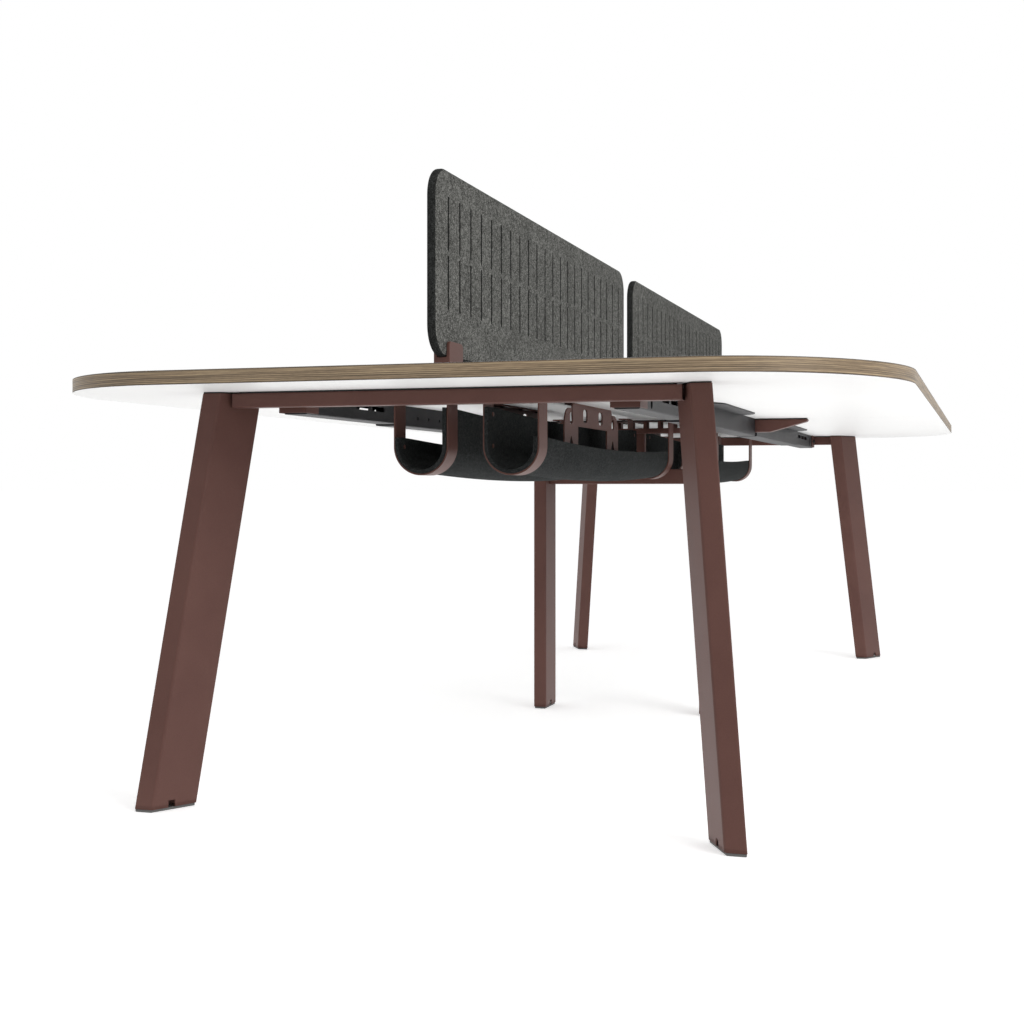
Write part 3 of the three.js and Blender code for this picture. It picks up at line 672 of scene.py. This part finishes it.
def board_layer(name, low_z, high_z, finish):
    """One layer, with soft oval corners at its outer end."""
    squeeze = corner_width / corner_length
    layer = bar(name, (seam, -board_side, low_z), (seam + (board_end - seam) * squeeze, board_side, high_z), finish)
    round_edges(layer, lambda middle, direction: abs(direction.z) > 0.99 and middle.x > 0.5, corner_width, 40)
    pick(layer, "FACE", lambda middle, normal: True)
    bpy.ops.transform.resize(value=(1 / squeeze, 1, 1), center_override=(seam, 0, 0))
    put_down()
    return layer


def layered_edge():
    """Oiled plywood seen on its edge: thin plies, with long streaks and darker patches along them."""
    material, start, place = new_finish("plywood_edge")
    parts = [start.node("ShaderNodeSeparateXYZ", {}, {"Vector": place}, axis) for axis in range(3)]
    ply = (parts[2] - core_bottom) * (ply_count / (core_top - core_bottom))
    layer = start.maths("FLOOR", ply)
    own_tone = start.node("ShaderNodeTexWhiteNoise", {"noise_dimensions": "1D"}, {"W": layer * 1.37})
    every_other = start.maths("PINGPONG", layer, 1.0)
    glue = start.maths("ABSOLUTE", ply - layer - 0.5)
    glue_line = start.node("ShaderNodeMapRange", {}, {"Value": glue, "From Min": 0.40, "From Max": 0.5})
    along = start.node("ShaderNodeMapping", {}, {"Vector": place, "Scale": (7.0, 7.0, 620.0)})
    streak = noise(start, along, 1.0, 3.0)
    fine = start.node("ShaderNodeMapping", {}, {"Vector": place, "Scale": (60.0, 60.0, 1500.0)})
    fibre = noise(start, fine, 1.0, 3.0)
    tone = own_tone * 0.24 + every_other * 0.20 + streak * 0.44 + fibre * 0.20 - glue_line * 0.26
    wood = start.node("ShaderNodeValToRGB", {"stops": [
        (0.12, tint(58, 47, 35)), (0.36, tint(96, 80, 60)), (0.60, tint(134, 114, 88)), (0.95, tint(184, 162, 128)),
    ]}, {"Fac": tone})
    dark = noise(start, start.node("ShaderNodeMapping", {}, {"Vector": place, "Scale": (5.0, 5.0, 420.0)}), 1.0)
    patch = start.node("ShaderNodeMapRange", {}, {"Value": dark, "From Min": 0.70, "From Max": 1.0, "To Max": 0.7})
    colour = between(start, patch, wood, tint(62, 54, 40))
    cover(start, {"Base Color": colour, "Roughness": 0.38 + 0.15 * fibre, "Normal": dent(start, tone, 0.0003, 0.4)})
    return material


def smooth_laminate():
    """Matt white laminate with a very fine grain."""
    material, start, place = new_finish("white_laminate")
    grain = noise(start, place, 1400.0)
    cloud = noise(start, place, 5.0)
    colour = between(start, grain * 0.5 + cloud * 0.5, tint(243, 243, 242), tint(247, 247, 246))
    cover(start, {"Base Color": colour, "Roughness": 0.42 + 0.06 * grain, "Normal": dent(start, grain, 0.00005, 0.3)})
    return material


plywood_edge = layered_edge()
white_laminate = smooth_laminate()
laminate_edge = rubber("laminate_edge", (38, 30, 26), (58, 47, 40))
core = board_layer("board_core", core_bottom, core_top, plywood_edge)
upper = board_layer("board_upper_face", core_top, board_top, white_laminate)
lower = board_layer("board_lower_face", underside, core_bottom, white_laminate)
for layer, face_z in ((upper, board_top), (lower, underside)):
    round_edges(layer, lambda middle, direction: abs(middle.z - face_z) < 0.0001 and middle.x > 0.01
                and abs(direction.z) < 0.1, 0.0004, 2)
    paint(layer, laminate_edge, lambda middle, normal: abs(normal.z) < 0.9)
layers = ((core, "plywood_core", "desktop_core_{}"), (upper, "white_laminate", "desktop_upper_laminate_{}"),
          (lower, "white_laminate", "desktop_lower_laminate_{}"))
for layer, finish_slot, node in layers:
    for end, along in ends.items():
        settle(mirrored(layer, f"{layer.name}_{end}", along, 1), finish_slot, "frame", node.format(end))
    bpy.data.objects.remove(layer)


# Cable trays. Pressed felt boards, 7 mm thick, bent round a former to a U that stays stiff;
# the wall towards the middle stands higher. They sag a little between their two straps.
tray_low_x, tray_high_x = 0.058, 1.205
tray_y, tray_z = 0.0835, 0.630
tray_radius = 0.048
felt = 0.007
tray_sag = 0.011
strap_width = 0.050
strap_inset = 0.028
outer_rim, inner_rim = 0.646, 0.698


def pressed_felt(name, deep, middle_tone, light, fleck_size, depth):
    """Felt pressed to a board: matted fibres in two sizes, with scattered paler ones."""
    material, start, place = new_finish(name)
    wander = start.node("ShaderNodeTexNoise", {}, {"Vector": place, "Scale": 120.0, "Detail": 2.0}, 1)
    pushed = start.node("ShaderNodeMix", {"data_type": "VECTOR"}, {0: 0.006, 4: place, 5: wander}, 1)
    mat = noise(start, pushed, 1.0 / fleck_size, 4.0)
    tuft = noise(start, pushed, 0.3 / fleck_size, 3.0)
    cloud = noise(start, place, 12.0, 2.0)
    tone = mat * 0.68 + tuft * 0.24 + cloud * 0.08
    colour = start.node("ShaderNodeValToRGB", {"stops": [
        (0.22, tint(*deep)), (0.5, tint(*middle_tone)), (0.80, tint(*light)),
    ]}, {"Fac": tone})
    height = mat * 0.7 + tuft * 0.3
    cover(start, {"Base Color": colour, "Roughness": 0.95, "Specular IOR Level": 0.08,
                  "Normal": dent(start, height, depth, 0.8)})
    return material


tray_felt = pressed_felt("tray_felt", (26, 28, 28), (41, 43, 43), (60, 62, 62), 0.0018, 0.0006)


def bent_channel(name, low_x, high_x, radius, thickness, low_rim, high_rim, finish):
    """A sheet bent to a U round the tray's axis, lying in the middle of a wall of the given thickness."""
    reach = radius - thickness / 2
    bpy.ops.object.select_all(action="DESELECT")
    bpy.ops.mesh.primitive_plane_add(size=1, location=((low_x + high_x) / 2, tray_y - reach, (tray_z + high_rim) / 2),
                                     rotation=(pi / 2, 0, 0))
    piece = bpy.context.object
    piece.scale = (high_x - low_x, high_rim - tray_z, 1)
    keep_place(piece, name, finish)
    pick(piece, "EDGE", lambda middle, direction: abs(middle.z - tray_z) < 0.0001)
    bpy.ops.mesh.spin(steps=32, angle=pi, center=((low_x + high_x) / 2, tray_y, tray_z), axis=(-1, 0, 0))
    bpy.ops.mesh.extrude_region_move(TRANSFORM_OT_translate={"value": (0, 0, low_rim - tray_z)})
    bpy.ops.mesh.select_all(action="SELECT")
    bpy.ops.mesh.remove_doubles(threshold=0.00001)
    bpy.ops.mesh.normals_make_consistent(inside=False)
    put_down()
    return piece


def thicken(piece, thickness):
    """A sheet gets its wall, half to either side."""
    take_up(piece)
    bpy.ops.object.modifier_add(type="SOLIDIFY")
    piece.modifiers[-1].thickness = thickness
    piece.modifiers[-1].offset = 0
    piece.modifiers[-1].use_even_offset = True
    bpy.ops.object.modifier_apply(modifier=piece.modifiers[-1].name)


tray = bent_channel("felt_tray", tray_low_x, tray_high_x, tray_radius, felt, outer_rim, inner_rim, tray_felt)
tray_middle = (tray_low_x + tray_high_x) / 2
free_span = tray_high_x - tray_low_x - 2 * (strap_inset + strap_width / 2)
pick(tray, "EDGE", long_edges(0))
bpy.ops.mesh.subdivide(number_cuts=25)
put_down()
pick(tray, "EDGE", lambda middle, direction: abs(middle.x - tray_middle) < 0.001)
bpy.ops.transform.translate(value=(0, 0, -tray_sag), use_proportional_edit=True,
                            proportional_edit_falloff="INVERSE_SQUARE", proportional_size=free_span / 2)
put_down()
thicken(tray, felt)
ease(tray, 0.0012, 3)
quarters(tray, "tray_felt", "frame", "cable_tray_{}")


# Tray straps. Flat steel bands bent round the trays and screwed to the board by a tab on
# each side; rivets through the felt hold the walls.
strap_radius = tray_radius + 0.0003 + sheet
strap_tab = 0.023
tab_screw_radius, tab_screw_height = 0.004, 0.0022
rivet_low, rivet_high = tray_z, tray_z + 0.056
rivet_reach = tray_radius - felt
rivet_radius = 0.004


def rivet_head(name, x, y, z, out):
    """A low domed head that faces along Y."""
    head = rod(name, rivet_radius, 0, 0.0015, 0, 0, 20, brown_coat)
    round_edges(head, lambda middle, direction: middle.z > 0.0014, 0.0010, 3)
    head.data.transform(Matrix.Translation((x, y, z)) @ Matrix.Rotation(-out * pi / 2, 4, "X"))
    return head


def strap(name, x, rim):
    """Band, tabs, rivet heads and screws."""
    band_top = underside - sheet / 2
    band = bent_channel(name, x - strap_width / 2, x + strap_width / 2, strap_radius, sheet, rim, rim, brown_coat)
    for out in (1, -1):
        pick(band, "EDGE", lambda middle, direction: abs(middle.z - band_top) < 0.0001
             and (middle.y - tray_y) * out > 0 and abs(direction.x) > 0.99)
        bpy.ops.mesh.extrude_region_move(TRANSFORM_OT_translate={"value": (0, out * (strap_tab + sheet / 2), 0)})
        put_down()
    round_edges(band, lambda middle, direction: abs(direction.x) > 0.99 and abs(middle.z - band_top) < 0.0001
                and abs(abs(middle.y - tray_y) - strap_radius + sheet / 2) < 0.0005, 0.004, 4)
    take_up(band)
    bpy.ops.object.mode_set(mode="EDIT")
    bpy.ops.mesh.select_all(action="SELECT")
    bpy.ops.mesh.normals_make_consistent(inside=False)
    put_down()
    thicken(band, sheet)
    ease(band, 0.0005)
    fasteners = [rivet_head("rivet", x, tray_y + rivet_reach, rivet_low, -1),
                 rivet_head("rivet", x, tray_y - rivet_reach, rivet_low, 1),
                 rivet_head("rivet", x, tray_y - rivet_reach, rivet_high, 1)]
    fasteners += [pan_head("screw", x + across, tray_y + out * (strap_radius + 0.012), underside - sheet,
                           tab_screw_radius, tab_screw_height)
                  for across in (-0.014, 0.014) for out in (1, -1)]
    attach(band, *fasteners)
    return band


quarters(strap("tray_strap_piece_inner", tray_low_x + strap_inset, underside - sheet / 2),
         "brown_frame", "frame", "tray_strap_inner_{}")
quarters(strap("tray_strap_piece_outer", tray_high_x - strap_inset, underside - sheet / 2),
         "brown_frame", "frame", "tray_strap_outer_{}")


# Cable plates. Sheet steel cut by laser and coated brown, screwed up by a folded flange;
# two forked legs reach into the tray and hold the cables apart.
plate_x = 0.645
plate_low_y, plate_high_y = 0.082, 0.085
plate_bottom = 0.605
plate_half, leg_inner, leg_outer = 0.161, 0.118, 0.219
mouth_top, ear_top = 0.680, 0.715
ear_round, plate_round = 0.036, 0.010
fork_reach, fork_half, fork_shoulder = 0.170, 0.012, 0.645
fork_point = 0.014
fork_point_share = 0.2
flange_half, flange_edge_y = 0.150, 0.065

plate = bar("cable_sheet", (plate_x - leg_outer, plate_low_y, plate_bottom),
            (plate_x + leg_outer, plate_high_y, underside), brown_coat)
mouth = slot_tool("mouth", (plate_x - leg_inner, 0.07, 0.55), (plate_x + leg_inner, 0.1, mouth_top), 1, 0.003)
cut(plate, mouth)
for out in (1, -1):
    def across_plate(near, far, low, high, radius):
        """A cutter between two distances from the plate's middle."""
        xs = sorted((plate_x + out * near, plate_x + out * far))
        return slot_tool("opening", (xs[0], 0.07, low), (xs[1], 0.1, high), 1, radius)

    def upper_corner(reach, height):
        """A test for the upper corner at one distance from the plate's middle."""
        return lambda middle, direction: (abs(direction.y) > 0.99 and abs(middle.z - height) < 0.0005
                                          and abs(middle.x - plate_x - out * reach) < 0.001)

    cut(plate, across_plate(plate_half, 0.240, ear_top, 0.735, 0.0005))
    round_edges(plate, upper_corner(leg_outer, ear_top), ear_round, 12)
    round_edges(plate, upper_corner(plate_half, underside), plate_round, 6)
    fork_x = plate_x + out * fork_reach
    fork = bar("fork", (fork_x - fork_half, 0.07, 0.580), (fork_x + fork_half, 0.1, fork_shoulder))
    pick(fork, "FACE", lambda middle, normal: normal.z > 0.9)
    bpy.ops.mesh.extrude_region_move(TRANSFORM_OT_translate={"value": (0, 0, fork_point)})
    bpy.ops.transform.resize(value=(fork_point_share, 1, 1),
                             center_override=(fork_x, 0.085, fork_shoulder + fork_point))
    put_down()
    slit = across_plate(plate_half, 0.167, 0.695, 0.735, 0.0008)
    keyhole = across_plate(0.159, 0.181, 0.683, 0.707, 0.0095)
    cable_slot = across_plate(0.046, 0.080, 0.6895, 0.7165, 0.009)
    cut(plate, slit, keyhole, fork, cable_slot)
ease(plate, 0.0004)
flange = bar("flange", (plate_x - flange_half, flange_edge_y, underside - sheet),
             (plate_x + flange_half, plate_low_y, underside), brown_coat)
round_edges(flange, lambda middle, direction: abs(direction.z) > 0.99 and middle.y < 0.07, 0.004, 3)
ease(flange, 0.0005)
attach(plate, flange, *[pan_head("screw", plate_x + across, 0.0735, underside - sheet,
                                 tab_screw_radius, tab_screw_height)
                        for across in (-0.12, 0.0, 0.12)])
quarters(plate, "brown_frame", "frame", "cable_plate_{}")


# Screen clips. Steel saddles screwed on the board from below; two thick uprights with
# rounded top corners stand on either side of the felt, which rests on the solid base.
clip_half_length = 0.034
clip_inner_y, clip_outer_y = 0.0083, 0.0143
clip_top, clip_seat = 0.802, 0.7757
clip_round = 0.009

for where, clip_x in (("outer", 1.287), ("inner", 0.131)):
    clip = bar(f"saddle_{where}", (clip_x - clip_half_length, -clip_outer_y, board_top),
               (clip_x + clip_half_length, clip_outer_y, clip_top), brown_coat)
    round_edges(clip, lambda middle, direction: abs(direction.y) > 0.99 and middle.z > 0.79, clip_round, 8)
    cut(clip, bar("mouth", (clip_x - 0.1, -clip_inner_y, clip_seat), (clip_x + 0.1, clip_inner_y, 0.85)))
    ease(clip, 0.0014, 3)
    for end, along in ends.items():
        settle(mirrored(clip, f"saddle_{where}_{end}", along, 1), "brown_frame", "frame",
               f"screen_clip_{where}_{end}")
    bpy.data.objects.remove(clip)


# Screens. Pressed grey felt, 16 mm thick, cut to a panel with rounded corners; two rows of
# short upright grooves are pressed into both faces. The cut edge is coloured darker, and this
# dark felt is carried onto the edge's rounding and into the grooves as painted shade.
screen_low_x, screen_high_x = 0.046, 1.372
screen_bottom, screen_top = 0.776, 1.089
screen_half = 0.008
screen_round, screen_edge_round = 0.050, 0.005
groove_count, groove_pitch = 22, 0.0572
groove_width, groove_depth, groove_height = 0.006, 0.003, 0.091
groove_tops = (1.045, 0.946)
screen_felt = pressed_felt("screen_felt", (50, 50, 48), (88, 88, 85), (140, 140, 136), 0.0021, 0.0006)
# Dark felt: the cut edge's darker colour, and painted shade on the edge's rounding and in the grooves.
edge_tone_and_painted_shade_felt = pressed_felt("edge_tone_and_painted_shade_felt", (22, 23, 22), (38, 39, 38), (62, 63, 62), 0.0018, 0.0006)

screen = bar("felt_screen", (screen_low_x, -screen_half, screen_bottom),
             (screen_high_x, screen_half, screen_top), screen_felt)
round_edges(screen, long_edges(1), screen_round, 16)
ease(screen, screen_edge_round, 6, 60)
first_groove = (screen_low_x + screen_high_x - (groove_count - 1) * groove_pitch) / 2
for face in (1, -1):
    for top in groove_tops:
        ys = sorted((face * (screen_half - groove_depth), face * 0.02))
        press = slot_tool("press", (first_groove - groove_width / 2, ys[0], top - groove_height),
                          (first_groove + groove_width / 2, ys[1], top), 1, groove_width / 2 - 0.0001)
        repeat(press, groove_count, (groove_pitch, 0, 0))
        cut(screen, press)
ease(screen, 0.0009, 2, 50)
# The edge faces, most of their rounding, and the groove walls and floors get the dark felt; on the rounding and in
# the grooves it is painted shade.
paint(screen, edge_tone_and_painted_shade_felt, lambda middle, normal: abs(normal.y) < 0.85
      or abs(middle.y) < screen_half - groove_depth / 2)
for end, along in ends.items():
    settle(mirrored(screen, f"felt_screen_{end}", along, 1), "screen_felt", f"screen_{end}", f"screen_{end}")
bpy.data.objects.remove(screen)


# The studio: a wide pale floor that keeps the desk's shadow, a white surround, soft lamps
# and the camera, low at one end of the desk.
def pale_floor():
    """White floor paint; the camera sees it white, with the desk's shadow left on it."""
    material, start, place = new_finish("studio_floor")
    speck = noise(start, place, 60.0)
    painted = start.node("ShaderNodeBsdfDiffuse", {}, {"Color": between(
        start, speck, tint(240, 240, 240), tint(244, 244, 244))})
    glow = start.node("ShaderNodeEmission", {}, {"Color": (1, 1, 1, 1), "Strength": 0.5})
    white = start.node("ShaderNodeAddShader", {}, {0: painted, 1: glow})
    path = start.node("ShaderNodeLightPath", {}, {})
    seen = path.socket.node.outputs
    shown = Wire(start.tree, seen["Is Camera Ray"]) + Wire(start.tree, seen["Is Glossy Ray"]) \
        + Wire(start.tree, seen["Is Transmission Ray"])
    mixed = start.node("ShaderNodeMixShader", {}, {0: start.maths("MINIMUM", shown, 1.0), 1: painted, 2: white})
    start.node("ShaderNodeOutputMaterial", {}, {"Surface": mixed})
    return material


bpy.ops.object.select_all(action="DESELECT")
bpy.ops.mesh.primitive_plane_add(size=600, location=(0, 0, -0.0002))
floor = keep_place(bpy.context.object, "floor", pale_floor())

world = bpy.data.worlds.new("white_surround")
bpy.context.scene.world = world
world.use_nodes = True
world.node_tree.nodes.clear()
sky = Wire(world.node_tree)
path = sky.node("ShaderNodeLightPath", {}, {}).socket.node.outputs
straight = Wire(sky.tree, path["Is Camera Ray"]) + Wire(sky.tree, path["Is Glossy Ray"]) \
    + Wire(sky.tree, path["Is Transmission Ray"])
level = 0.58 + 0.42 * sky.maths("MINIMUM", straight, 1.0)
surround = sky.node("ShaderNodeBackground", {}, {"Color": (1, 1, 1, 1), "Strength": level})
sky.node("ShaderNodeOutputWorld", {}, {"Surface": surround})


def soft_lamp(name, at, aim, width, power):
    """A large square lamp that the camera doesn't see."""
    lamp = bpy.data.lights.new(name, "AREA")
    lamp.size = width
    lamp.energy = power
    thing = bpy.data.objects.new(name, lamp)
    bpy.context.scene.collection.objects.link(thing)
    thing.location = at
    thing.rotation_euler = (Vector(aim) - Vector(at)).to_track_quat("-Z", "Y").to_euler()
    thing.visible_camera = False
    return thing


soft_lamp("key_lamp", (-3.5, -4.5, 3.2), (0, 0, 0.5), 3.0, 148)
soft_lamp("fill_lamp", (-5.0, 3.0, 1.2), (0, 0, 0.4), 3.0, 8)
soft_lamp("floor_bounce", (0, 0, 0.01), (0, 0, 1), 3.4, 17)

camera = bpy.data.objects.new("camera", bpy.data.cameras.new("camera"))
bpy.context.scene.collection.objects.link(camera)
camera.location = (-3.674, -0.876, 0.555)
camera.rotation_euler = (pi / 2, 0, 0.3095 - pi / 2)
camera.data.lens = 52.734
camera.data.sensor_width = 36
camera.data.shift_y = -0.02266
bpy.context.scene.camera = camera
bpy.context.scene.view_settings.view_transform = "Standard"
